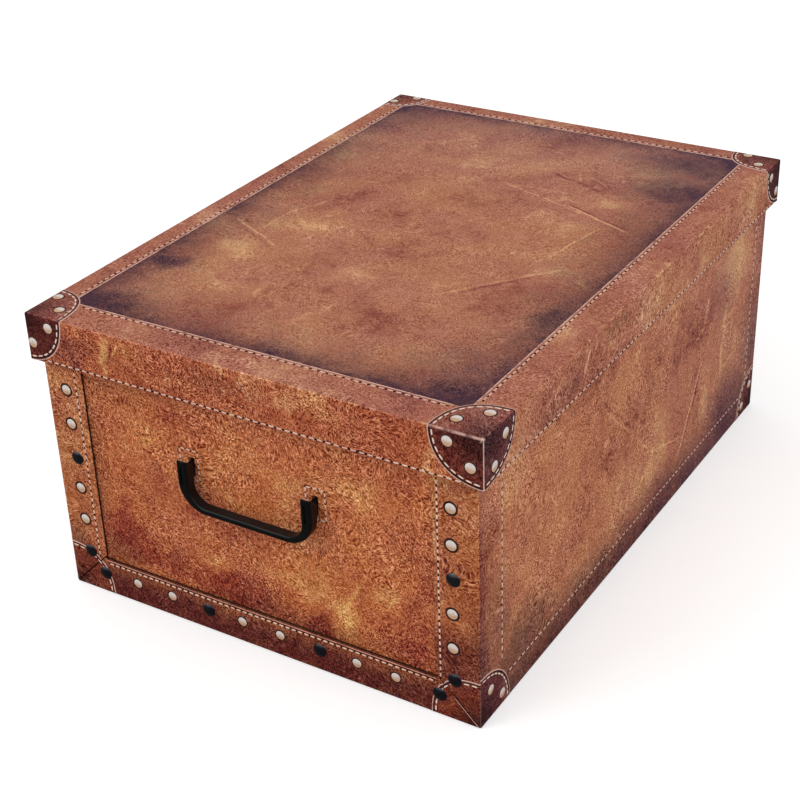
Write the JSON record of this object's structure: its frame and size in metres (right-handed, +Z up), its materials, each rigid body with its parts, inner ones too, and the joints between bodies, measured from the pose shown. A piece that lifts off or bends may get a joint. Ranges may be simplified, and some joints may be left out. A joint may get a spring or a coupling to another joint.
{
  "type": "photo storage box",
  "caption": "Rectangular board storage box printed like stitched leather, with a lift-off rimmed lid and a black bail handle swinging on each short end.",
  "frame": {"origin": "middle of the tray's underside, on the surface that the box stands on", "axes": "+Z up out of the box; +Y along its length, towards the rear handle; +X across its width, to the right seen from the front handle"},
  "size_m": [0.3672, 0.5192, 0.2313],
  "materials": {
    "printed_board": "paper laminated on corrugated board, printed to look like worn tan leather, low sheen",
    "black_plastic": "moulded black plastic, semi-gloss"
  },
  "bodies": {
    "box": {"tray": "printed_board", "front_panel": "printed_board", "rear_panel": "printed_board", "front_rivet_1": "black_plastic", "front_rivet_2": "black_plastic", "front_rivet_3": "black_plastic", "front_rivet_4": "black_plastic", "front_rivet_5": "black_plastic", "front_rivet_6": "black_plastic", "front_rivet_7": "black_plastic", "front_rivet_8": "black_plastic", "rear_rivet_1": "black_plastic", "rear_rivet_2": "black_plastic", "rear_rivet_3": "black_plastic", "rear_rivet_4": "black_plastic", "rear_rivet_5": "black_plastic", "rear_rivet_6": "black_plastic", "rear_rivet_7": "black_plastic", "rear_rivet_8": "black_plastic", "front_rivet_cap_1": "black_plastic", "front_rivet_cap_2": "black_plastic", "front_rivet_cap_3": "black_plastic", "front_rivet_cap_4": "black_plastic", "front_rivet_cap_5": "black_plastic", "front_rivet_cap_6": "black_plastic", "front_rivet_cap_7": "black_plastic", "front_rivet_cap_8": "black_plastic", "rear_rivet_cap_1": "black_plastic", "rear_rivet_cap_2": "black_plastic", "rear_rivet_cap_3": "black_plastic", "rear_rivet_cap_4": "black_plastic", "rear_rivet_cap_5": "black_plastic", "rear_rivet_cap_6": "black_plastic", "rear_rivet_cap_7": "black_plastic", "rear_rivet_cap_8": "black_plastic"},
    "lid": {"lid": "printed_board"},
    "front_bail": {"front_handle": "black_plastic"},
    "rear_bail": {"rear_handle": "black_plastic"}
  },
  "joints": [
    {"name": "lid_lift", "type": "slide", "parent": "box", "child": "lid", "axis": [0, 0, 1], "range_m": [0, 0.15]},
    {"name": "front_handle_swing", "type": "hinge", "parent": "box", "child": "front_bail", "pos_m": [0, -0.2454, 0.1413], "axis": [-1, 0, 0], "range_deg": [0, 50]},
    {"name": "rear_handle_swing", "type": "hinge", "parent": "box", "child": "rear_bail", "pos_m": [0, 0.2454, 0.1413], "axis": [1, 0, 0], "range_deg": [0, 50]}
  ]
}
